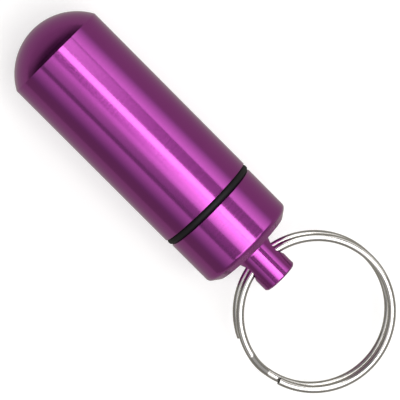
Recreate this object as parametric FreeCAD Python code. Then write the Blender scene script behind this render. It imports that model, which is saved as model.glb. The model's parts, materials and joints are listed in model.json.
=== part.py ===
import FreeCAD
import Part
import math
import os

from FreeCAD import Vector

# Pill fob keychain: a turned aluminium capsule with a screw cap, a rubber sealing ring squeezed
# between the two, and a split key ring through the cross hole of the cap's knob.
# Millimetres, +Z up. The capsule lies on its side along X, closed end at -X and knob at +X, and
# the key ring stands out from the knob, drooping a little. The origin is on the surface that the
# capsule lies on, under the middle of the whole part.

# Barrel
BARREL_DIAMETER = 17.0
BARREL_LENGTH = 37.7
DOME_HEIGHT = 5.0
RIM_EDGE_BREAK = 0.15
END_WALL = 4.0

# Screw thread, shown by its plain roots: the tapped mouth of the barrel and the spigot of the cap
MOUTH_WALL = 1.5
THREAD_PITCH = 1.0
THREAD_CLEARANCE = 0.05
MOUTH_CHAMFER = 0.3
SPIGOT_REACH = 6.4
SPIGOT_CHAMFER = 0.5
TAP_RUN_OUT = 1.2

# Sealing ring, squeezed flat between the barrel's rim and the cap's shoulder
SEAL_THICKNESS = 1.1
SEAL_BEVEL = 0.3
SEAL_INSET = 0.05
SEAL_BORE_CLEARANCE = 0.05
SEAL_FACE_CLEARANCE = 0.02

# Cap and its knob
CAP_INSET = 0.15
CAP_LENGTH = 9.1
CAP_END_BEVEL_LENGTH = 1.1
CAP_END_BEVEL_DEPTH = 1.5
CAP_END_ROUNDING = 0.9
CAP_EDGE_BREAK = 0.15
KNOB_DIAMETER = 6.1
KNOB_ROOT_ROUNDING = 0.7
KNOB_NECK = 0.92
KNOB_TIP_WALL = 2.44
KNOB_END_BREAK = 0.25
HOLE_EDGE_BREAK = 0.15

# Split ring: flat spring wire wound twice round, with a step from the upper turn to the lower one,
# which lies nearer to the knob. Angles are round the ring, from the far side away from the knob.
RING_DIAMETER = 25.4
WIRE_WIDTH = 1.25
WIRE_THICKNESS = 1.05
WIRE_BEVEL = 0.33
TURN_GAP = 0.1
TURN_OFFSET = 0.53
STEP_END_ANGLE = -72.6
STEP_SPAN = 43.0
END_GAP = 0.6
RING_PLAY = 0.25
RING_DROOP = 5.2

# Radii that fit one another, from the barrel inwards
BARREL_RADIUS = BARREL_DIAMETER / 2
THREAD_RADIUS = BARREL_RADIUS - MOUTH_WALL
TAPPED_RADIUS = THREAD_RADIUS + THREAD_CLEARANCE
CHAMBER_RADIUS = THREAD_RADIUS - THREAD_PITCH / 2
METRIC_THREAD_DEPTH = 0.6134
SPIGOT_RADIUS = THREAD_RADIUS - METRIC_THREAD_DEPTH * THREAD_PITCH
SEAL_BORE_RADIUS = SPIGOT_RADIUS + SEAL_BORE_CLEARANCE
SEAL_RADIUS = BARREL_RADIUS - SEAL_INSET
CAP_RADIUS = BARREL_RADIUS - CAP_INSET
KNOB_RADIUS = KNOB_DIAMETER / 2

# The ring's section inside the knob: both turns, and the bow of the inner edge over the knob's
# width. It turns about the middle of that section, and the cross hole clears it by the play.
RING_OUTER = RING_DIAMETER / 2
RING_INNER = RING_OUTER - WIRE_WIDTH
TURN_PITCH = WIRE_THICKNESS + TURN_GAP
HALF_HEIGHT = (TURN_PITCH + WIRE_THICKNESS) / 2
INNER_EDGE_IN_HOLE = math.sqrt(RING_INNER**2 - KNOB_RADIUS**2)
RING_CENTRE_TO_HOLE = (INNER_EDGE_IN_HOLE + RING_OUTER) / 2
HALF_BAND = (RING_OUTER + TURN_OFFSET - INNER_EDGE_IN_HOLE) / 2
SECTION_RADIUS = max(
    math.hypot(HALF_BAND - WIRE_BEVEL, HALF_HEIGHT),
    math.hypot(HALF_BAND, HALF_HEIGHT - WIRE_BEVEL),
)
HOLE_RADIUS = SECTION_RADIUS + RING_PLAY

# Places along the capsule's axis, from the top of the dome
CHAMBER_FLOOR_X = END_WALL
RIM_X = BARREL_LENGTH
NOSE_X = RIM_X - SPIGOT_REACH
TAPPED_END_X = NOSE_X - TAP_RUN_OUT
SEAL_X = RIM_X + SEAL_FACE_CLEARANCE
SHOULDER_X = SEAL_X + SEAL_THICKNESS + SEAL_FACE_CLEARANCE
CAP_END_X = SHOULDER_X + CAP_LENGTH
HOLE_X = CAP_END_X + KNOB_NECK + HOLE_RADIUS
KNOB_END_X = HOLE_X + HOLE_RADIUS + KNOB_TIP_WALL

# The whole part's length, from the dome to the upper edge of the drooping ring's far side
DROOP = math.radians(RING_DROOP)
FAR_EDGE = RING_CENTRE_TO_HOLE + TURN_OFFSET / 2 + RING_OUTER
RING_REACH = FAR_EDGE * math.cos(DROOP) + (HALF_HEIGHT - WIRE_BEVEL) * math.sin(DROOP)
PART_LENGTH = HOLE_X + RING_REACH

CENTRE = Vector(0, 0, 0)
FOB_AXIS = Vector(1, 0, 0)
SWING_AXIS = Vector(0, 1, 0)
RING_AXIS = Vector(0, 0, 1)


def rounded_outline(corners):
    """Face in the XY plane through corners (x, y, rounding), with a tangent arc at each rounding."""
    points = [Vector(x, y, 0) for x, y, rounding in corners]
    arcs = []
    for i, corner in enumerate(points):
        rounding = corners[i][2]
        to_last = (points[i - 1] - corner).normalize()
        to_next = (points[(i + 1) % len(points)] - corner).normalize()
        half_angle = to_last.getAngle(to_next) / 2
        setback = rounding / math.tan(half_angle)
        bow = rounding / math.sin(half_angle) - rounding
        middle = corner + (to_last + to_next).normalize() * bow
        arcs.append((corner + to_last * setback, middle, corner + to_next * setback))
    edges = []
    for i, (start, middle, end) in enumerate(arcs):
        edges.append(Part.LineSegment(arcs[i - 1][2], start).toShape())
        if corners[i][2] > 0:
            edges.append(Part.Arc(start, middle, end).toShape())
    return Part.Face(Part.Wire(edges))


def turned(corners):
    """Solid turned about the X axis from an outline of (x, radius, rounding) corners."""
    return rounded_outline(corners).revolve(CENTRE, FOB_AXIS, 360)


def make_barrel():
    """Domed tube, bored out for the pills and tapped at its mouth."""
    rod = turned(
        [
            (0, 0, 0),
            (0, BARREL_RADIUS, 0),
            (RIM_X - RIM_EDGE_BREAK, BARREL_RADIUS, 0),
            (RIM_X, BARREL_RADIUS - RIM_EDGE_BREAK, 0),
            (RIM_X, 0, 0),
        ]
    )
    dome_radius = (BARREL_RADIUS**2 + DOME_HEIGHT**2) / (2 * DOME_HEIGHT)
    ball = Part.makeSphere(dome_radius, Vector(dome_radius, 0, 0), FOB_AXIS)
    behind_dome = Part.makeCylinder(
        BARREL_DIAMETER, BARREL_LENGTH, Vector(DOME_HEIGHT, 0, 0), FOB_AXIS
    )
    domed = rod.common(ball.fuse(behind_dome)).removeSplitter()

    run_out = abs(TAPPED_RADIUS - CHAMBER_RADIUS)
    past_rim_x = RIM_X + SEAL_THICKNESS
    cavity = turned(
        [
            (CHAMBER_FLOOR_X, 0, 0),
            (CHAMBER_FLOOR_X, CHAMBER_RADIUS, 0),
            (TAPPED_END_X - run_out, CHAMBER_RADIUS, 0),
            (TAPPED_END_X, TAPPED_RADIUS, 0),
            (RIM_X - MOUTH_CHAMFER, TAPPED_RADIUS, 0),
            (RIM_X, TAPPED_RADIUS + MOUTH_CHAMFER, 0),
            (past_rim_x, TAPPED_RADIUS + MOUTH_CHAMFER, 0),
            (past_rim_x, 0, 0),
        ]
    )
    return domed.cut(cavity)


def make_seal():
    """Rubber ring squeezed to flat faces between the rim and the shoulder, bevelled where it shows."""
    end_x = SEAL_X + SEAL_THICKNESS
    return turned(
        [
            (SEAL_X, SEAL_BORE_RADIUS, 0),
            (SEAL_X, SEAL_RADIUS - SEAL_BEVEL, 0),
            (SEAL_X + SEAL_BEVEL, SEAL_RADIUS, 0),
            (end_x - SEAL_BEVEL, SEAL_RADIUS, 0),
            (end_x, SEAL_RADIUS - SEAL_BEVEL, 0),
            (end_x, SEAL_BORE_RADIUS, 0),
        ]
    )


def make_cap():
    """Bevelled round cap with its screw spigot on one side and its cross-drilled knob on the other."""
    blank = turned(
        [
            (NOSE_X, 0, 0),
            (NOSE_X, SPIGOT_RADIUS - SPIGOT_CHAMFER, 0),
            (NOSE_X + SPIGOT_CHAMFER, SPIGOT_RADIUS, 0),
            (SHOULDER_X, SPIGOT_RADIUS, 0),
            (SHOULDER_X, CAP_RADIUS - CAP_EDGE_BREAK, 0),
            (SHOULDER_X + CAP_EDGE_BREAK, CAP_RADIUS, 0),
            (CAP_END_X - CAP_END_BEVEL_LENGTH, CAP_RADIUS, CAP_END_ROUNDING),
            (CAP_END_X, CAP_RADIUS - CAP_END_BEVEL_DEPTH, 0),
            (CAP_END_X, KNOB_RADIUS, KNOB_ROOT_ROUNDING),
            (KNOB_END_X - KNOB_END_BREAK, KNOB_RADIUS, 0),
            (KNOB_END_X, KNOB_RADIUS - KNOB_END_BREAK, 0),
            (KNOB_END_X, 0, 0),
        ]
    )
    drill = Part.makeCylinder(
        HOLE_RADIUS, 2 * KNOB_DIAMETER, Vector(HOLE_X, -KNOB_DIAMETER, 0), SWING_AXIS
    )
    drilled = blank.cut(drill)
    hole_rims = [
        edge
        for edge in drilled.Edges
        if not isinstance(edge.Curve, (Part.Circle, Part.Line))
        and abs(edge.BoundBox.Center.x - HOLE_X) < HOLE_RADIUS / 4
    ]
    return drilled.makeChamfer(HOLE_EDGE_BREAK, hole_rims)


def wire_section(angle, level):
    """The wire's section at that angle round the ring, from level 1, upper turn, to -1, lower turn."""
    low = TURN_PITCH / 2 * level - WIRE_THICKNESS / 2
    high = low + WIRE_THICKNESS
    section = rounded_outline(
        [
            (RING_INNER, low + WIRE_BEVEL, 0),
            (RING_INNER + WIRE_BEVEL, low, 0),
            (RING_OUTER - WIRE_BEVEL, low, 0),
            (RING_OUTER, low + WIRE_BEVEL, 0),
            (RING_OUTER, high - WIRE_BEVEL, 0),
            (RING_OUTER - WIRE_BEVEL, high, 0),
            (RING_INNER + WIRE_BEVEL, high, 0),
            (RING_INNER, high - WIRE_BEVEL, 0),
        ]
    )
    section.rotate(CENTRE, Vector(1, 0, 0), 90)
    section.rotate(CENTRE, RING_AXIS, angle)
    section.translate(turn_centre(level))
    return section


def turn_centre(level):
    """Centre that the wire goes round at that level, between the two turns' own centres."""
    return Vector(TURN_OFFSET / 2 * level, 0, 0)


def step_level(share):
    """Level of the wire at a share of the step, eased out of one turn into the other."""
    return 1 - 2 * share * share * (3 - 2 * share)


def make_split_ring():
    """Two flat turns and the step that joins them, one wire, flat about its own centre."""
    end_gap_angle = math.degrees(2 * END_GAP / (RING_INNER + RING_OUTER))
    turn_angle = 360 - STEP_SPAN - end_gap_angle
    upper_end = wire_section(STEP_END_ANGLE + end_gap_angle, 1)
    upper_turn = upper_end.revolve(turn_centre(1), RING_AXIS, turn_angle)
    lower_start = wire_section(STEP_END_ANGLE, -1)
    lower_turn = lower_start.revolve(turn_centre(-1), RING_AXIS, turn_angle)
    stations = 9
    shares = [i / (stations - 1) for i in range(stations)]
    step = Part.makeLoft(
        [
            wire_section(STEP_END_ANGLE - STEP_SPAN * (1 - share), step_level(share)).OuterWire
            for share in shares
        ],
        True,
        False,
    )
    print("least gap between the turns", round(upper_turn.distToShape(lower_turn)[0], 3))
    return upper_turn.fuse([step, lower_turn]).removeSplitter()


def hang_ring(ring):
    """Brings the flat ring to the middle of the cross hole, drooping from there."""
    ring.translate(Vector(RING_CENTRE_TO_HOLE, 0, 0))
    ring.rotate(CENTRE, SWING_AXIS, RING_DROOP)
    ring.translate(Vector(HOLE_X, 0, 0))
    return ring


def main():
    """Makes the four pieces about the dome's top, brings them to the origin and writes them."""
    pieces = {
        "barrel": make_barrel(),
        "seal_ring": make_seal(),
        "cap": make_cap(),
        "split_ring": hang_ring(make_split_ring()),
    }
    to_origin = Vector(-PART_LENGTH / 2, 0, BARREL_RADIUS)
    os.makedirs("parts", exist_ok=True)
    for name, shape in pieces.items():
        solid = shape.Solids[0]
        solid.translate(to_origin)
        solid.exportStep(f"parts/{name}.step")
        print(name, "valid", solid.isValid(), "volume", round(solid.Volume, 2))
    print("along X: dome", to_origin.x, "rim", RIM_X + to_origin.x, "hole", HOLE_X + to_origin.x)
    print("hole diameter", 2 * HOLE_RADIUS, "ring centre to hole", RING_CENTRE_TO_HOLE)


main()
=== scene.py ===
"""Looks of the pill fob keychain: a purple turned capsule, its seal, its threads and its key ring."""

import json
import logging
import math
from dataclasses import dataclass
from enum import Enum

import bmesh
import bpy
from mathutils import Matrix, Vector


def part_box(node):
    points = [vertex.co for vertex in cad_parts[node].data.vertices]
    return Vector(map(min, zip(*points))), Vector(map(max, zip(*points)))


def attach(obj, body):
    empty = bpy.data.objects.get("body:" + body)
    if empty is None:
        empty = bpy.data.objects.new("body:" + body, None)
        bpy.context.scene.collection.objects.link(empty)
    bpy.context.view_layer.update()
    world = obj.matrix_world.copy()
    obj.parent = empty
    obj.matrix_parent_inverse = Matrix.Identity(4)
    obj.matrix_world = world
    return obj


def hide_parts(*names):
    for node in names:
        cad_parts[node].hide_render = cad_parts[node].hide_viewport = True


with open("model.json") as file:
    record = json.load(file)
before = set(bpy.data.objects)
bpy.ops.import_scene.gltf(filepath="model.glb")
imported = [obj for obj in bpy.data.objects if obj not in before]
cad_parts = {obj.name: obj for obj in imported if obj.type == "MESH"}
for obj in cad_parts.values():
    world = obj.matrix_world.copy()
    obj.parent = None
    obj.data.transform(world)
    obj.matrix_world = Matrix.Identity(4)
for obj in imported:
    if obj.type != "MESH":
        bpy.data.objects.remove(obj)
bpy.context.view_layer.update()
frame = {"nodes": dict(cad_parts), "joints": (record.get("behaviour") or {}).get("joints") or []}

MM = 0.001
MERGE_DISTANCE = 0.0005 * MM
# Nearly all of a noise pattern lies between these two values.
NOISE_LOW, NOISE_HIGH = 0.3, 0.7
log = logging.getLogger("pill_fob")

Tip = list[bmesh.types.BMVert]
Section = list[bmesh.types.BMVert | bmesh.types.BMEdge]


class Slot(Enum):
    """Names of the record's material slots for the capsule, the seal and the ring."""

    CAPSULE = "anodised_aluminium"
    SEAL = "seal_rubber"
    RING = "nickel_steel"


def linear(hex_code: str) -> tuple[float, float, float, float]:
    """Turns an sRGB hex colour to the linear colour that a shader takes.

    Args:
        hex_code: Colour as "#RRGGBB".

    Returns:
        Linear red, green and blue, and an alpha of 1.
    """
    shares = [int(hex_code[i : i + 2], 16) / 255 for i in (1, 3, 5)]
    red, green, blue = (s / 12.92 if s <= 0.04045 else ((s + 0.055) / 1.055) ** 2.4 for s in shares)
    return red, green, blue, 1.0


def add_node(
    tree: bpy.types.NodeTree, kind: str, inputs: dict[str | int, object] | None = None, **settings: object
) -> bpy.types.Node:
    """Adds a node with its settings, its values and the links that feed it.

    Args:
        tree: Node tree that gets the node.
        kind: Blender's name for the kind of node.
        inputs: Value, or socket to link from, for each input by name or number.
        **settings: Properties of the node.

    Returns:
        The new node.
    """
    node = tree.nodes.new(kind)
    for name, value in settings.items():
        setattr(node, name, value)
    for name, value in (inputs or {}).items():
        if isinstance(value, bpy.types.NodeSocket):
            tree.links.new(value, node.inputs[name])
        else:
            node.inputs[name].default_value = value
    return node


def new_material(name: str) -> tuple[bpy.types.Material, bpy.types.NodeTree]:
    """Makes an empty material with its output left to the caller.

    Args:
        name: Name of the material.

    Returns:
        The material and its node tree.
    """
    material = bpy.data.materials.new(name)
    material.use_nodes = True
    material.node_tree.nodes.clear()
    return material, material.node_tree


@dataclass(frozen=True)
class TurnedAnodisedAluminium:
    """Aluminium turned from the bar, bright dipped and dyed.

    A clear coloured metal: mirror streaks along the capsule, softened along its length by the fine
    marks that the turning tool leaves round it. The clear oxide over the dye adds a little white to
    the brightest streaks and to the rims.
    """

    name: str = "turned_anodised_aluminium"
    dye: str = "#A93FA0"
    thin_dye: str = "#AF45A6"
    roughness: float = 0.17
    dull_roughness: float = 0.22
    across_the_marks: float = 0.7
    quarter_turn: float = 0.25
    oxide_weight: float = 0.4
    oxide_roughness: float = 0.15
    oxide_ior: float = 1.6
    mark_spacing_mm: float = 0.3
    mark_depth_mm: float = 0.003
    dye_patch_mm: float = 6.0

    def material(self) -> bpy.types.Material:
        """Builds the material.

        Returns:
            Dyed metal with marks round the X axis of the frame.
        """
        material, tree = new_material(self.name)
        place = add_node(tree, "ShaderNodeTexCoord").outputs["Object"]
        along = add_node(tree, "ShaderNodeSeparateXYZ", {"Vector": place}).outputs["X"]
        # The real marks are a tenth of this spacing, too fine for the picture, so they are drawn coarser.
        marks = add_node(
            tree,
            "ShaderNodeTexNoise",
            {"W": along, "Scale": 1 / (self.mark_spacing_mm * MM), "Detail": 3.0, "Roughness": 0.6},
            noise_dimensions="1D",
        ).outputs["Fac"]
        patches = add_node(
            tree,
            "ShaderNodeTexNoise",
            {"Vector": place, "Scale": 1 / (self.dye_patch_mm * MM), "Detail": 2.0},
        ).outputs["Fac"]
        colour = add_node(
            tree,
            "ShaderNodeMix",
            {"Factor": patches, "A": linear(self.dye), "B": linear(self.thin_dye)},
            data_type="RGBA",
        )
        roughness = add_node(
            tree,
            "ShaderNodeMapRange",
            {
                "Value": marks,
                "From Min": NOISE_LOW,
                "From Max": NOISE_HIGH,
                "To Min": self.roughness,
                "To Max": self.dull_roughness,
            },
        ).outputs["Result"]
        normal = add_node(
            tree,
            "ShaderNodeBump",
            {"Height": marks, "Strength": 1.0, "Distance": self.mark_depth_mm * MM},
        ).outputs["Normal"]
        around = add_node(tree, "ShaderNodeTangent", direction_type="RADIAL", axis="X").outputs["Tangent"]
        shader = add_node(
            tree,
            "ShaderNodeBsdfPrincipled",
            {
                "Base Color": colour.outputs[2],
                "Metallic": 1.0,
                "Roughness": roughness,
                "Anisotropic": self.across_the_marks,
                "Anisotropic Rotation": self.quarter_turn,
                "Normal": normal,
                "Tangent": around,
                "Coat Weight": self.oxide_weight,
                "Coat Roughness": self.oxide_roughness,
                "Coat IOR": self.oxide_ior,
            },
        )
        add_node(tree, "ShaderNodeOutputMaterial", {"Surface": shader.outputs["BSDF"]})
        return material


@dataclass(frozen=True)
class MouldedNitrileRubber:
    """Black nitrile rubber from a fine-blasted mould: near black, with a dull grey sheen on its crown."""

    name: str = "moulded_nitrile_rubber"
    body: str = "#0E0D0F"
    bloom: str = "#161517"
    roughness: float = 0.6
    gloss: float = 0.3
    grain_mm: float = 0.12
    grain_depth_mm: float = 0.004

    def material(self) -> bpy.types.Material:
        """Builds the material.

        Returns:
            Rubber with a fine grain.
        """
        material, tree = new_material(self.name)
        place = add_node(tree, "ShaderNodeTexCoord").outputs["Object"]
        # The mould's real grain is too fine for the picture, so it is drawn coarser.
        grain = add_node(
            tree,
            "ShaderNodeTexNoise",
            {"Vector": place, "Scale": 1 / (self.grain_mm * MM), "Detail": 3.0},
        ).outputs["Fac"]
        colour = add_node(
            tree,
            "ShaderNodeMix",
            {"Factor": grain, "A": linear(self.body), "B": linear(self.bloom)},
            data_type="RGBA",
        )
        normal = add_node(
            tree,
            "ShaderNodeBump",
            {"Height": grain, "Strength": 1.0, "Distance": self.grain_depth_mm * MM},
        ).outputs["Normal"]
        shader = add_node(
            tree,
            "ShaderNodeBsdfPrincipled",
            {
                "Base Color": colour.outputs[2],
                "Roughness": self.roughness,
                "Specular IOR Level": self.gloss,
                "Normal": normal,
            },
        )
        add_node(tree, "ShaderNodeOutputMaterial", {"Surface": shader.outputs["BSDF"]})
        return material


@dataclass(frozen=True)
class NickelledSpringSteel:
    """Drawn spring wire, nickel plated: bright and faintly warm, with draw lines along the wire."""

    name: str = "nickelled_spring_steel"
    plate: str = "#D4D1CD"
    worn_plate: str = "#C5C1BC"
    roughness: float = 0.13
    rubbed_roughness: float = 0.22
    line_spacing_mm: float = 0.12
    line_depth_mm: float = 0.0012

    def material(self, centre: Vector, droop: float) -> bpy.types.Material:
        """Builds the material.

        Args:
            centre: Middle of the ring, in the frame.
            droop: Turn of the ring about the Y axis, in radians.

        Returns:
            Plated steel with draw lines that follow the ring round.
        """
        material, tree = new_material(self.name)
        place = add_node(tree, "ShaderNodeTexCoord").outputs["Object"]
        on_ring = add_node(
            tree,
            "ShaderNodeMapping",
            {"Vector": place, "Location": centre, "Rotation": (0.0, droop, 0.0)},
            vector_type="TEXTURE",
        ).outputs["Vector"]
        parts = add_node(tree, "ShaderNodeSeparateXYZ", {"Vector": on_ring})
        flat = add_node(
            tree, "ShaderNodeCombineXYZ", {"X": parts.outputs["X"], "Y": parts.outputs["Y"]}
        ).outputs["Vector"]
        radius = add_node(tree, "ShaderNodeVectorMath", {0: flat}, operation="LENGTH").outputs["Value"]
        across = add_node(
            tree, "ShaderNodeCombineXYZ", {"X": radius, "Y": parts.outputs["Z"]}
        ).outputs["Vector"]
        # The real draw lines are too fine for the picture, so they are drawn coarser.
        lines = add_node(
            tree,
            "ShaderNodeTexNoise",
            {"Vector": across, "Scale": 1 / (self.line_spacing_mm * MM), "Detail": 2.0},
            noise_dimensions="2D",
        ).outputs["Fac"]
        colour = add_node(
            tree,
            "ShaderNodeMix",
            {"Factor": lines, "A": linear(self.plate), "B": linear(self.worn_plate)},
            data_type="RGBA",
        )
        roughness = add_node(
            tree,
            "ShaderNodeMapRange",
            {
                "Value": lines,
                "From Min": NOISE_LOW,
                "From Max": NOISE_HIGH,
                "To Min": self.roughness,
                "To Max": self.rubbed_roughness,
            },
        ).outputs["Result"]
        normal = add_node(
            tree,
            "ShaderNodeBump",
            {"Height": lines, "Strength": 1.0, "Distance": self.line_depth_mm * MM},
        ).outputs["Normal"]
        shader = add_node(
            tree,
            "ShaderNodeBsdfPrincipled",
            {"Base Color": colour.outputs[2], "Metallic": 1.0, "Roughness": roughness, "Normal": normal},
        )
        add_node(tree, "ShaderNodeOutputMaterial", {"Surface": shader.outputs["BSDF"]})
        return material


@dataclass(frozen=True)
class ShearedSteelWithPaintedShade:
    """Spring wire cut off by a shear after plating: bare, ripped and dull, and painted far darker than
    bare steel as painted shade for the shadowed gap between the wire's ends.
    """

    name: str = "sheared_steel_painted_shade"
    # Both colours are painted shade: far darker than bare steel, for the shadowed gap between the ring's
    # ends.
    torn_with_painted_shade: str = "#24221F"
    burnished_with_painted_shade: str = "#3B3834"
    roughness: float = 0.55
    tear_mm: float = 0.15
    tear_depth_mm: float = 0.01

    def material(self) -> bpy.types.Material:
        """Builds the material.

        Returns:
            Bare steel with a ripped grain, darkened as painted shade.
        """
        material, tree = new_material(self.name)
        place = add_node(tree, "ShaderNodeTexCoord").outputs["Object"]
        tears = add_node(
            tree,
            "ShaderNodeTexNoise",
            {"Vector": place, "Scale": 1 / (self.tear_mm * MM), "Detail": 3.0},
        ).outputs["Fac"]
        colour = add_node(
            tree,
            "ShaderNodeMix",
            {"Factor": tears, "A": linear(self.torn_with_painted_shade), "B": linear(self.burnished_with_painted_shade)},
            data_type="RGBA",
        )
        normal = add_node(
            tree,
            "ShaderNodeBump",
            {"Height": tears, "Strength": 1.0, "Distance": self.tear_depth_mm * MM},
        ).outputs["Normal"]
        shader = add_node(
            tree,
            "ShaderNodeBsdfPrincipled",
            {
                "Base Color": colour.outputs[2],
                "Metallic": 1.0,
                "Roughness": self.roughness,
                "Normal": normal,
            },
        )
        add_node(tree, "ShaderNodeOutputMaterial", {"Surface": shader.outputs["BSDF"]})
        return material


@dataclass(frozen=True)
class PaleFloor:
    """Matt white paper that goes white in the picture and still takes the part's shadow."""

    name: str = "pale_paper_floor"
    paper: str = "#C8C7C5"
    lift: float = 0.57

    def material(self) -> bpy.types.Material:
        """Builds the material.

        Returns:
            Matt paper, lifted to white for what is seen of it straight, mirrored or through glass.
        """
        material, tree = new_material(self.name)
        path = add_node(tree, "ShaderNodeLightPath").outputs
        seen = add_node(
            tree, "ShaderNodeMath", {0: path["Is Camera Ray"], 1: path["Is Glossy Ray"]}, operation="ADD"
        ).outputs["Value"]
        seen = add_node(
            tree,
            "ShaderNodeMath",
            {0: seen, 1: path["Is Transmission Ray"]},
            operation="ADD",
            use_clamp=True,
        ).outputs["Value"]
        glow = add_node(
            tree, "ShaderNodeMath", {0: seen, 1: self.lift}, operation="MULTIPLY"
        ).outputs["Value"]
        matt = add_node(tree, "ShaderNodeBsdfDiffuse", {"Color": linear(self.paper)}).outputs["BSDF"]
        lifted = add_node(tree, "ShaderNodeEmission", {"Strength": glow}).outputs["Emission"]
        both = add_node(tree, "ShaderNodeAddShader", {0: matt, 1: lifted}).outputs["Shader"]
        add_node(tree, "ShaderNodeOutputMaterial", {"Surface": both})
        return material


def dress(piece: bpy.types.Object, material: bpy.types.Material) -> None:
    """Gives a piece one material in all its slots.

    Args:
        piece: New piece, or a node of the frame.
        material: Finish of the piece.
    """
    if not piece.material_slots:
        piece.data.materials.append(material)
    for slot in piece.material_slots:
        slot.material = material


def rounded_section(
    bm: bmesh.types.BMesh, width: float, height: float, rounding: float, segments: int
) -> None:
    """Makes the outline of a rounded rectangle in the XY plane, about the origin.

    Args:
        bm: Empty bmesh that gets the outline.
        width: Size along X.
        height: Size along Y.
        rounding: Radius of the corners.
        segments: Edges in each corner.
    """
    bmesh.ops.create_grid(bm, x_segments=1, y_segments=1, size=0.5)
    bmesh.ops.scale(bm, vec=(width, height, 1.0), verts=bm.verts)
    bmesh.ops.bevel(
        bm,
        geom=bm.verts[:],
        offset=rounding,
        segments=segments,
        profile=0.5,
        affect="VERTICES",
        material=-1,
    )
    bmesh.ops.delete(bm, geom=bm.faces[:], context="FACES_ONLY")


def finished_piece(bm: bmesh.types.BMesh, name: str, sharp_angle: float) -> bpy.types.Object:
    """Closes a bmesh off as a smooth-shaded piece at the origin.

    Args:
        bm: The shape, which is freed.
        name: Name of the piece.
        sharp_angle: Angle between faces, in degrees, past which an edge stays crisp.

    Returns:
        The piece, linked to the scene.
    """
    bmesh.ops.remove_doubles(bm, verts=bm.verts, dist=MERGE_DISTANCE)
    bmesh.ops.recalc_face_normals(bm, faces=bm.faces)
    for face in bm.faces:
        face.smooth = True
    mesh = bpy.data.meshes.new(name)
    bm.to_mesh(mesh)
    bm.free()
    mesh.set_sharp_from_angle(angle=math.radians(sharp_angle))
    piece = bpy.data.objects.new(name, mesh)
    bpy.context.scene.collection.objects.link(piece)
    return piece


@dataclass
class ThreadRidge:
    """One helical ridge of the screw thread, round the capsule's axis.

    The two ridges share one right-hand helix, half a pitch apart, so they stay in mesh as the cap turns.
    """

    name: str
    root_radius: float
    crest_radius: float
    crest_width: float
    start_x: float
    turns: float
    axis_z: float
    pitch: float = 1.0 * MM
    flank_angle: float = 30.0
    root_overlap: float = 0.04 * MM
    steps_per_turn: int = 72
    run_out_turns: float = 0.4

    def build(self) -> bpy.types.Object:
        """Sweeps the ridge along its helix and sinks both ends into the root.

        Returns:
            The ridge as a piece.
        """
        outward = math.copysign(1.0, self.crest_radius - self.root_radius)
        height = abs(self.crest_radius - self.root_radius) + self.root_overlap
        crest_half = self.crest_width / 2
        root_half = crest_half + height * math.tan(math.radians(self.flank_angle))
        bm = bmesh.new()
        bmesh.ops.create_grid(bm, x_segments=1, y_segments=1, size=0.5)
        bmesh.ops.scale(bm, vec=(2 * root_half, outward * height, 1.0), verts=bm.verts)
        crest = [vert for vert in bm.verts if vert.co.y * outward > 0]
        bmesh.ops.scale(bm, vec=(crest_half / root_half, 1.0, 1.0), verts=crest)
        bmesh.ops.delete(bm, geom=bm.faces[:], context="FACES_ONLY")
        middle = self.crest_radius - outward * height / 2
        bmesh.ops.translate(bm, vec=(self.start_x, middle, self.axis_z), verts=bm.verts)

        first = bm.edges[:]
        sections = [bm.verts[:]]
        last = first
        steps = round(self.turns * self.steps_per_turn)
        for _ in range(steps):
            swept = bmesh.ops.spin(
                bm,
                geom=last + sections[-1],
                cent=(0.0, 0.0, self.axis_z),
                axis=(1.0, 0.0, 0.0),
                dvec=(self.pitch / self.steps_per_turn, 0.0, 0.0),
                angle=math.tau / self.steps_per_turn,
                steps=1,
            )["geom_last"]
            last = [item for item in swept if isinstance(item, bmesh.types.BMEdge)]
            sections.append([item for item in swept if isinstance(item, bmesh.types.BMVert)])

        run_out = self.run_out_turns * self.steps_per_turn
        for place, section in enumerate(sections):
            sunk = 1 - min(1.0, place / run_out, (steps - place) / run_out)
            angle = math.tau * place / self.steps_per_turn
            inward = Vector((0.0, -math.cos(angle), -math.sin(angle))) * outward
            bmesh.ops.translate(bm, vec=inward * sunk * height, verts=section)
        bmesh.ops.edgeloop_fill(bm, edges=first)
        bmesh.ops.edgeloop_fill(bm, edges=last)
        return finished_piece(bm, self.name, sharp_angle=20.0)


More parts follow.
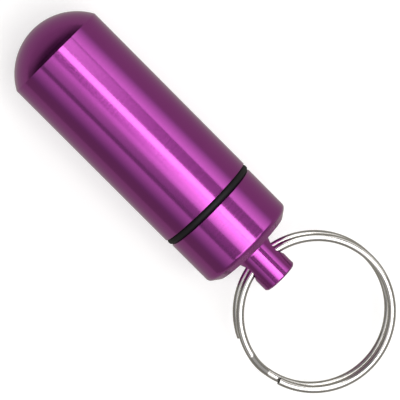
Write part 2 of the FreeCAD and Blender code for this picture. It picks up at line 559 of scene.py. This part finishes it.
@dataclass
class Barrel:
    """The domed tube, bored for the pills and tapped at its mouth."""

    finish: bpy.types.Material
    dome_height: float = 5.0 * MM
    rim_rounding: float = 0.05 * MM
    rim_land: float = 0.1 * MM
    mouth_chamfer: float = 0.3 * MM
    tapped_radius: float = 7.05 * MM
    tapped_depth: float = 7.6 * MM
    chamber_radius: float = 6.5 * MM
    end_wall: float = 4.0 * MM
    crest_width: float = 0.2 * MM
    thread_turns: float = 6.0
    deeper_pitches: float = 1.5
    dome_steps: int = 48
    rim_steps: int = 4
    steps_round: int = 180

    def build(self, spigot_thread_x: float) -> list[bpy.types.Object]:
        """Turns the tube and cuts the ridge of its internal thread.

        The ridge starts deeper than the spigot's and runs half-way between the turns of that one.

        Args:
            spigot_thread_x: Place of the first turn of the spigot's thread.

        Returns:
            The tube, which stands for the frame's barrel, and the ridge.
        """
        low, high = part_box("barrel")
        axis_z = (low.z + high.z) / 2
        tube = self._tube(low.x, high.x - low.x, axis_z)
        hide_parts("barrel")
        ridge = ThreadRidge(
            name="barrel_internal_thread",
            root_radius=self.tapped_radius,
            crest_radius=self.chamber_radius,
            crest_width=self.crest_width,
            start_x=spigot_thread_x - self.deeper_pitches * ThreadRidge.pitch,
            turns=self.thread_turns,
            axis_z=axis_z,
        ).build()
        for piece in (tube, ridge):
            dress(piece, self.finish)
            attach(piece, "barrel")
        return [tube, ridge]

    def _tube(self, dome_x: float, length: float, axis_z: float) -> bpy.types.Object:
        """Draws half the tube's outline, from the dome's top to the chamber's floor, and turns it.

        Args:
            dome_x: Place of the dome's top along the axis.
            length: Length from the dome's top to the rim.
            axis_z: Height of the axis, which is the tube's radius too.

        Returns:
            The tube.
        """
        dome_radius = (axis_z**2 + self.dome_height**2) / (2 * self.dome_height)
        tapped_end = length - self.tapped_depth
        inside = [
            (length, self.tapped_radius + self.mouth_chamfer),
            (length - self.mouth_chamfer, self.tapped_radius),
            (tapped_end, self.tapped_radius),
            (tapped_end - self.tapped_radius + self.chamber_radius, self.chamber_radius),
            (self.end_wall, self.chamber_radius),
            (self.end_wall, 0.0),
        ]
        bm = bmesh.new()
        tip = bmesh.ops.create_vert(bm, co=(0.0, 0.0, 0.0))["vert"]
        tip = self._bend(bm, tip, (dome_radius, 0.0), math.asin(axis_z / dome_radius), self.dome_steps)
        rim_centre = (length - self.rim_rounding, axis_z - self.rim_rounding)
        # The narrow land keeps the rim's rounding out of the shading of the long wall.
        for wall_end in (rim_centre[0] - self.rim_land, rim_centre[0]):
            tip = self._run(bm, tip, (wall_end, axis_z))
        tip = self._bend(bm, tip, rim_centre, math.pi / 2, self.rim_steps)
        for corner in inside:
            tip = self._run(bm, tip, corner)
        bmesh.ops.translate(bm, vec=(dome_x, 0.0, axis_z), verts=bm.verts)
        bmesh.ops.spin(
            bm,
            geom=bm.verts[:] + bm.edges[:],
            cent=(0.0, 0.0, axis_z),
            axis=(1.0, 0.0, 0.0),
            angle=math.tau,
            steps=self.steps_round,
            use_merge=True,
        )
        return finished_piece(bm, "barrel_tube", sharp_angle=24.0)

    @staticmethod
    def _run(bm: bmesh.types.BMesh, tip: Tip, corner: tuple[float, float]) -> Tip:
        """Draws a straight stretch of the outline.

        Args:
            bm: The outline so far.
            tip: Its last vertex, in a list.
            corner: Place along the axis and radius where the stretch ends.

        Returns:
            The new last vertex, in a list.
        """
        end = bmesh.ops.extrude_vert_indiv(bm, verts=tip)["verts"]
        bmesh.ops.translate(bm, vec=Vector((*corner, 0.0)) - end[0].co, verts=end)
        return end

    @staticmethod
    def _bend(
        bm: bmesh.types.BMesh, tip: Tip, centre: tuple[float, float], angle: float, steps: int
    ) -> Tip:
        """Draws a round stretch of the outline, turning towards the axis.

        Args:
            bm: The outline so far.
            tip: Its last vertex, in a list.
            centre: Place along the axis and radius of the stretch's centre.
            angle: Angle to go round, in radians.
            steps: Edges in the stretch.

        Returns:
            The new last vertex, in a list.
        """
        swept = bmesh.ops.spin(
            bm,
            geom=tip,
            cent=(*centre, 0.0),
            axis=(0.0, 0.0, -1.0),
            angle=angle,
            steps=steps,
        )["geom_last"]
        return [item for item in swept if isinstance(item, bmesh.types.BMVert)]


@dataclass
class Cap:
    """The cap with its screw spigot and its cross-drilled knob."""

    finish: bpy.types.Material
    crest_radius: float = 7.0 * MM
    thread_depth: float = 0.6134 * MM
    crest_width: float = 0.125 * MM
    nose_to_thread: float = 0.95 * MM
    thread_turns: float = 5.0

    def spigot_radius(self) -> float:
        """Radius of the spigot at the root of its thread."""
        return self.crest_radius - self.thread_depth

    def thread_start_x(self) -> float:
        """Place of the thread's first turn, behind the spigot's chamfered nose."""
        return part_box("cap")[0].x + self.nose_to_thread

    def build(self) -> list[bpy.types.Object]:
        """Dresses the cap and winds the ridge of its external thread.

        Returns:
            The cap's own node and the ridge.
        """
        low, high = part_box("cap")
        ridge = ThreadRidge(
            name="cap_external_thread",
            root_radius=self.spigot_radius(),
            crest_radius=self.crest_radius,
            crest_width=self.crest_width,
            start_x=self.thread_start_x(),
            turns=self.thread_turns,
            axis_z=(low.z + high.z) / 2,
        ).build()
        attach(ridge, "cap")
        turning = frame["nodes"]["cap"]
        dress(turning, self.finish)
        dress(ridge, self.finish)
        return [turning, ridge]


@dataclass
class SealRing:
    """The O-ring, squeezed to a rounded band between the barrel and the cap."""

    finish: MouldedNitrileRubber
    bore_clearance: float = 0.05 * MM
    rounding: float = 0.5 * MM
    corner_segments: int = 8
    steps: int = 160

    def build(self, spigot_radius: float) -> bpy.types.Object:
        """Spins the squeezed section round the capsule's axis.

        Args:
            spigot_radius: Radius of the spigot that the ring lies round.

        Returns:
            The ring, which stands for the frame's plain one.
        """
        low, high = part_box("seal_ring")
        bore_radius = spigot_radius + self.bore_clearance
        outer_radius = (high.z - low.z) / 2
        thickness = high.x - low.x
        axis_z = (low.z + high.z) / 2
        bm = bmesh.new()
        rounded_section(bm, thickness, outer_radius - bore_radius, self.rounding, self.corner_segments)
        middle = Vector(((low.x + high.x) / 2, (outer_radius + bore_radius) / 2, axis_z))
        bmesh.ops.translate(bm, vec=middle, verts=bm.verts)
        bmesh.ops.spin(
            bm,
            geom=bm.verts[:] + bm.edges[:],
            cent=(0.0, 0.0, axis_z),
            axis=(1.0, 0.0, 0.0),
            angle=math.tau,
            steps=self.steps,
            use_merge=True,
        )
        piece = finished_piece(bm, "seal_o_ring", sharp_angle=60.0)
        dress(piece, self.finish.material())
        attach(piece, "seal_ring")
        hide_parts("seal_ring")
        return piece


@dataclass
class SplitRing:
    """The key ring: crowned wire wound twice round, with a step from the upper turn down to the lower one.

    The lower turn lies nearer to the knob than the upper one, so that both show from above. The ramp is
    the stretch of the step over which the wire drops, and both it and its rounding are shares of the span.
    The step is level on both sides of its ramp, and the two ends of the wire lap over it there.
    """

    finish: NickelledSpringSteel
    end_finish_and_painted_shade: ShearedSteelWithPaintedShade
    wire_width: float = 1.25 * MM
    wire_thickness: float = 1.05 * MM
    end_rounding: float = 0.08 * MM
    turn_gap: float = 0.1 * MM
    turn_offset: float = 0.53 * MM
    end_lap: float = 0.2 * MM
    step_end: float = -72.6
    step_span: float = 43.0
    ramp: tuple[float, float] = (0.29, 0.845)
    ramp_rounding: float = 0.05
    droop: float = 5.2
    centre_to_hole: float = 11.868152 * MM
    section_segments: int = 32
    end_segments: int = 2
    step_stations: int = 72
    degrees_per_step: float = 1.5

    def outer_radius(self) -> float:
        """Outer radius of the ring, from its width in the frame."""
        low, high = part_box("split_ring")
        return (high.y - low.y) / 2

    def centre(self) -> Vector:
        """Finds the middle of the drooping ring, from the cross hole that it swings about.

        Returns:
            Middle of the ring, in the frame.
        """
        swing = next(joint for joint in frame["joints"] if joint["name"] == "ring_swing")
        droop = math.radians(self.droop)
        outwards = Vector((math.cos(droop), 0.0, -math.sin(droop)))
        return Vector(swing["pos_m"]) + self.centre_to_hole * outwards

    def build(self) -> bpy.types.Object:
        """Winds the wire flat about the origin, then brings it to the knob.

        Returns:
            The ring, which stands for the frame's plainer one.
        """
        middle_radius = self.outer_radius() - self.wire_width / 2
        pitch = self.wire_thickness + self.turn_gap
        lap_angle = math.degrees(self.end_lap / middle_radius)
        turn = 360 - self.step_span + lap_angle

        bm = bmesh.new()
        bmesh.ops.create_circle(bm, radius=0.5, segments=self.section_segments)
        bmesh.ops.scale(bm, vec=(self.wire_width, self.wire_thickness, 1.0), verts=bm.verts)
        upright = Matrix.Rotation(math.pi / 2, 3, "X")
        bmesh.ops.rotate(bm, cent=(0.0, 0.0, 0.0), matrix=upright, verts=bm.verts)
        bmesh.ops.translate(bm, vec=(middle_radius, 0.0, 0.0), verts=bm.verts)
        start = Matrix.Rotation(math.radians(self.step_end - lap_angle), 3, "Z")
        bmesh.ops.rotate(bm, cent=(0.0, 0.0, 0.0), matrix=start, verts=bm.verts)
        upper = Vector((self.turn_offset, 0.0, pitch)) / 2
        bmesh.ops.translate(bm, vec=upper, verts=bm.verts)

        first = bm.edges[:]
        whole_turn = [0.0] * round(turn / self.degrees_per_step)
        end = self._wind(bm, bm.verts[:] + first, upper, turn, whole_turn)
        end = self._wind(bm, end, upper, self.step_span, self._drops())
        end = self._wind(bm, end, -upper, turn, whole_turn)
        last = [item for item in end if isinstance(item, bmesh.types.BMEdge)]
        for loop in (first, last):
            for face in bmesh.ops.edgeloop_fill(bm, edges=loop)["faces"]:
                face.material_index = 1
        bmesh.ops.bevel(
            bm,
            geom=first + last,
            offset=self.end_rounding,
            segments=self.end_segments,
            profile=0.5,
            affect="EDGES",
            material=-1,
        )
        hang = Matrix.Translation(self.centre()) @ Matrix.Rotation(math.radians(self.droop), 4, "Y")
        bmesh.ops.transform(bm, matrix=hang, verts=bm.verts)
        piece = finished_piece(bm, "split_ring_wire", sharp_angle=50.0)
        dress(piece, self.finish.material(self.centre(), math.radians(self.droop)))
        # The cut ends take the darkened steel, as painted shade for the gap between them.
        piece.data.materials.append(self.end_finish_and_painted_shade.material())
        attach(piece, "split_ring")
        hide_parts("split_ring")
        return piece

    def _drops(self) -> list[float]:
        """Shares the drop out over the step: an even ramp, rounded where it leaves the flat wire.

        Returns:
            Share of the drop that each station of the step takes.
        """
        begin, finish = self.ramp
        places = [(number + 0.5) / self.step_stations for number in range(self.step_stations)]
        rises = [min(place - begin, finish - place) / self.ramp_rounding for place in places]
        slopes = [min(1.0, max(0.0, rise)) for rise in rises]
        return [slope / sum(slopes) for slope in slopes]

    @staticmethod
    def _wind(
        bm: bmesh.types.BMesh, section: Section, centre: Vector, angle: float, drops: list[float]
    ) -> Section:
        """Sweeps the wire's section on round the ring.

        Args:
            bm: The ring so far.
            section: Vertices and edges of the section to go on from.
            centre: Centre of the turn that the sweep starts from.
            angle: Angle to go round, in degrees.
            drops: Share of the way from the upper turn to the lower one that each step of the sweep goes.

        Returns:
            Vertices and edges of the section at the sweep's end.
        """
        to_lower_turn = -2 * centre
        for drop in drops:
            section = bmesh.ops.spin(
                bm,
                geom=section,
                cent=centre,
                axis=(0.0, 0.0, 1.0),
                angle=math.radians(angle) / len(drops),
                steps=1,
            )["geom_last"]
            verts = [item for item in section if isinstance(item, bmesh.types.BMVert)]
            bmesh.ops.translate(bm, vec=to_lower_turn * drop, verts=verts)
            centre = centre + to_lower_turn * drop
        return section


@dataclass(frozen=True)
class SoftBox:
    """A flat soft light over the part, given by the patch of sky that it fills.

    Lean is measured from straight up towards +Y, reach from straight up towards +X, both in degrees.
    Radiance is given at the two ends of the lean, because a soft box is brighter near its lamp.
    """

    name: str
    lean: tuple[float, float]
    reach: tuple[float, float]
    radiance: tuple[float, float]
    distance: float = 0.45

    def build(self, target: Vector) -> bpy.types.Object:
        """Hangs the light so that it faces the part.

        Args:
            target: Point that the light faces.

        Returns:
            The light.
        """
        lean = math.radians(sum(self.lean) / 2)
        half_width = math.tan(math.radians(self.lean[1] - self.lean[0]) / 2) * self.distance
        near, far = (math.tan(math.radians(angle)) * self.distance for angle in self.reach)
        lamp = bpy.data.lights.new(self.name, "AREA")
        lamp.shape = "RECTANGLE"
        lamp.size = far - near
        lamp.size_y = 2 * half_width
        lamp.energy = math.pi * lamp.size * lamp.size_y
        self._grade(lamp)
        light = bpy.data.objects.new(self.name, lamp)
        light.rotation_euler = (-lean, 0.0, 0.0)
        light.location = target + Vector(
            ((near + far) / 2, self.distance * math.sin(lean), self.distance * math.cos(lean))
        )
        light.visible_camera = False
        bpy.context.scene.collection.objects.link(light)
        return light

    def _grade(self, lamp: bpy.types.AreaLight) -> None:
        """Grades the light from one end of its lean to the other.

        Args:
            lamp: The light, set to a radiance of 1.
        """
        lamp.use_nodes = True
        tree = lamp.node_tree
        spot = add_node(tree, "ShaderNodeNewGeometry").outputs["Parametric"]
        share = add_node(tree, "ShaderNodeSeparateXYZ", {"Vector": spot}).outputs["Y"]
        level = add_node(
            tree,
            "ShaderNodeMapRange",
            {"Value": share, "To Min": self.radiance[0], "To Max": self.radiance[1]},
        ).outputs["Result"]
        tree.links.new(level, tree.nodes["Emission"].inputs["Strength"])


@dataclass(frozen=True)
class PalePatch:
    """A half-oval pale patch at the foot of a screen, which fades into the screen.

    Fade is the width of the faded edge as a share of the patch's own size.
    """

    shade: str
    half_width: float
    height: float
    fade: float


@dataclass(frozen=True)
class Screen:
    """A grey board that stands round the part and shows only in the metal, as a photographer's boards do.

    It keeps the white floor and the lights out of the edges of the capsule and the ring.
    """

    name: str
    half_length: float
    half_width: float
    rounding: float
    foot: float
    top: float
    shade: str
    patch: PalePatch | None = None
    has_mat: bool = False
    side: Vector | None = None
    beyond: float = 0.0
    corner_segments: int = 24

    def build(self) -> bpy.types.Object:
        """Stands the screen on a rounded rectangle round the part, or on one side of it.

        Returns:
            The screen.
        """
        bm = bmesh.new()
        rounded_section(bm, 2 * self.half_length, 2 * self.half_width, self.rounding, self.corner_segments)
        foot_line = bm.edges[:]
        wall = bmesh.ops.extrude_edge_only(bm, edges=foot_line)["geom"]
        raised = [item for item in wall if isinstance(item, bmesh.types.BMVert)]
        bmesh.ops.translate(bm, vec=(0.0, 0.0, self.top - self.foot), verts=raised)
        bmesh.ops.translate(bm, vec=(0.0, 0.0, self.foot), verts=bm.verts)
        if self.has_mat:
            bmesh.ops.edgeloop_fill(bm, edges=foot_line)
        if self.side is not None:
            bmesh.ops.bisect_plane(
                bm,
                geom=bm.verts[:] + bm.edges[:] + bm.faces[:],
                plane_co=self.side * self.beyond,
                plane_no=-self.side,
                clear_outer=True,
            )
        screen = finished_piece(bm, self.name, sharp_angle=30.0)
        dress(screen, self._board())
        for ray in ("camera", "diffuse", "transmission", "volume_scatter", "shadow"):
            setattr(screen, f"visible_{ray}", False)
        return screen

    def _board(self) -> bpy.types.Material:
        """Builds the board's material.

        Returns:
            Even glow, with the pale patch if the board has one.
        """
        material, tree = new_material(self.name)
        glow = add_node(tree, "ShaderNodeEmission", {"Color": linear(self.shade)})
        add_node(tree, "ShaderNodeOutputMaterial", {"Surface": glow.outputs["Emission"]})
        if self.patch is not None:
            place = add_node(tree, "ShaderNodeTexCoord").outputs["Object"]
            spread = add_node(
                tree,
                "ShaderNodeVectorMath",
                {0: place, 1: (0.0, 1 / self.patch.half_width, 1 / self.patch.height)},
                operation="MULTIPLY",
            ).outputs["Vector"]
            radius = add_node(
                tree, "ShaderNodeVectorMath", {0: spread}, operation="LENGTH"
            ).outputs["Value"]
            share = add_node(
                tree,
                "ShaderNodeMapRange",
                {"Value": radius, "From Min": 1.0, "From Max": 1.0 + self.patch.fade},
            ).outputs["Result"]
            shade = add_node(
                tree,
                "ShaderNodeMix",
                {"Factor": share, "A": linear(self.patch.shade), "B": linear(self.shade)},
                data_type="RGBA",
            )
            tree.links.new(shade.outputs[2], glow.inputs["Color"])
        return material


@dataclass
class Studio:
    """Pale floor, soft lights and the camera that looks down on the part."""

    floor_finish: PaleFloor
    floor_radius: float = 1.2
    floor_segments: int = 64
    floor_drop: float = 0.02 * MM
    surroundings: str = "#898989"
    look_at: Vector = Vector((-0.643, -0.33, 8.5)) * MM
    distance: float = 372.0 * MM
    tilt: float = 5.03
    roll: float = 45.05
    focal_px: float = 2392.0
    picture_px: int = 400

    def build(self, boxes: list[SoftBox], screens: list[Screen]) -> None:
        """Builds the floor, the surroundings, the lights, the screens and the camera.

        Args:
            boxes: The soft lights.
            screens: The grey boards.
        """
        self._floor()
        self._surroundings()
        for box in boxes:
            box.build(self.look_at)
        for screen in screens:
            screen.build()
        self._camera()

    def _floor(self) -> None:
        """Lays the pale floor under the part."""
        bm = bmesh.new()
        bmesh.ops.create_circle(
            bm, cap_ends=True, radius=self.floor_radius, segments=self.floor_segments
        )
        bmesh.ops.translate(bm, vec=(0.0, 0.0, -self.floor_drop), verts=bm.verts)
        floor = finished_piece(bm, "floor", sharp_angle=30.0)
        dress(floor, self.floor_finish.material())

    def _surroundings(self) -> None:
        """Sets the even grey of the studio round the lights."""
        world = bpy.data.worlds.new("studio_surroundings")
        world.use_nodes = True
        world.node_tree.nodes["Background"].inputs["Color"].default_value = linear(self.surroundings)
        bpy.context.scene.world = world

    def _camera(self) -> None:
        """Sets the camera above the part, leaning and turned as in the photograph."""
        tilt, roll = math.radians(self.tilt), math.radians(self.roll)
        sight = Vector((math.sin(tilt), 0.0, -math.cos(tilt)))
        along = Vector((math.cos(tilt), 0.0, math.sin(tilt)))
        across = sight.cross(along)
        right = math.cos(roll) * along - math.sin(roll) * across
        down = math.sin(roll) * along + math.cos(roll) * across
        data = bpy.data.cameras.new("camera")
        data.lens = self.focal_px / self.picture_px * data.sensor_width
        camera = bpy.data.objects.new("camera", data)
        turn = Matrix((right, -down, -sight)).transposed().to_4x4()
        camera.matrix_world = Matrix.Translation(self.look_at - self.distance * sight) @ turn
        bpy.context.scene.collection.objects.link(camera)
        bpy.context.scene.camera = camera


SOFT_BOXES = [
    SoftBox("main_box", lean=(7, 20.3), reach=(-8, 32), radiance=(4.3, 4.3)),
    SoftBox("lower_fill_box", lean=(-37, -9), reach=(-30, 3), radiance=(0.35, 0.8)),
    SoftBox("far_fill_box", lean=(-21, 6), reach=(3, 32), radiance=(0.9, 4.4)),
    SoftBox("dome_fill_box", lean=(22, 44), reach=(-40, -2), radiance=(1.95, 1.95)),
    SoftBox("upper_side_box", lean=(46, 82), reach=(-12, 32), radiance=(1.42, 0.0)),
    SoftBox("lower_side_box", lean=(-74, -46), reach=(-12, 32), radiance=(0.0, 0.6)),
    SoftBox("ring_box", lean=(-40, 40), reach=(20, 45), radiance=(1.2, 1.2)),
    SoftBox("step_box", lean=(-40, 40), reach=(45, 62), radiance=(0.22, 0.22)),
]


SCREENS = [
    Screen(
        "low_screen",
        half_length=112 * MM,
        half_width=72 * MM,
        rounding=70 * MM,
        foot=0.3 * MM,
        top=28 * MM,
        shade="#A5A39B",
        has_mat=True,
    ),
    Screen(
        "lower_side_screen",
        half_length=104 * MM,
        half_width=68 * MM,
        rounding=60 * MM,
        foot=0.4 * MM,
        top=28 * MM,
        shade="#86847D",
        side=Vector((0.0, -1.0, 0.0)),
        beyond=40 * MM,
    ),
    Screen(
        "dome_screen",
        half_length=100 * MM,
        half_width=68 * MM,
        rounding=62 * MM,
        foot=0.5 * MM,
        top=66 * MM,
        shade="#2B2A29",
        patch=PalePatch("#999790", half_width=41 * MM, height=23 * MM, fade=0.6),
        side=Vector((-1.0, 0.0, 0.0)),
        beyond=66 * MM,
    ),
]


def main() -> None:
    """Builds the pieces in order, then the studio round them."""
    logging.basicConfig(level=logging.INFO, format="%(name)s: %(message)s")
    capsule = TurnedAnodisedAluminium().material()
    cap = Cap(capsule)
    pieces = cap.build()
    pieces += Barrel(capsule).build(cap.thread_start_x())
    pieces.append(SealRing(MouldedNitrileRubber()).build(cap.spigot_radius()))
    pieces.append(SplitRing(NickelledSpringSteel(), ShearedSteelWithPaintedShade()).build())
    for piece in pieces:
        log.info("%s: %d faces", piece.name, len(piece.data.polygons))
    Studio(PaleFloor()).build(SOFT_BOXES, SCREENS)
    bpy.context.scene.view_settings.view_transform = "Standard"


if __name__ == "__main__":
    main()
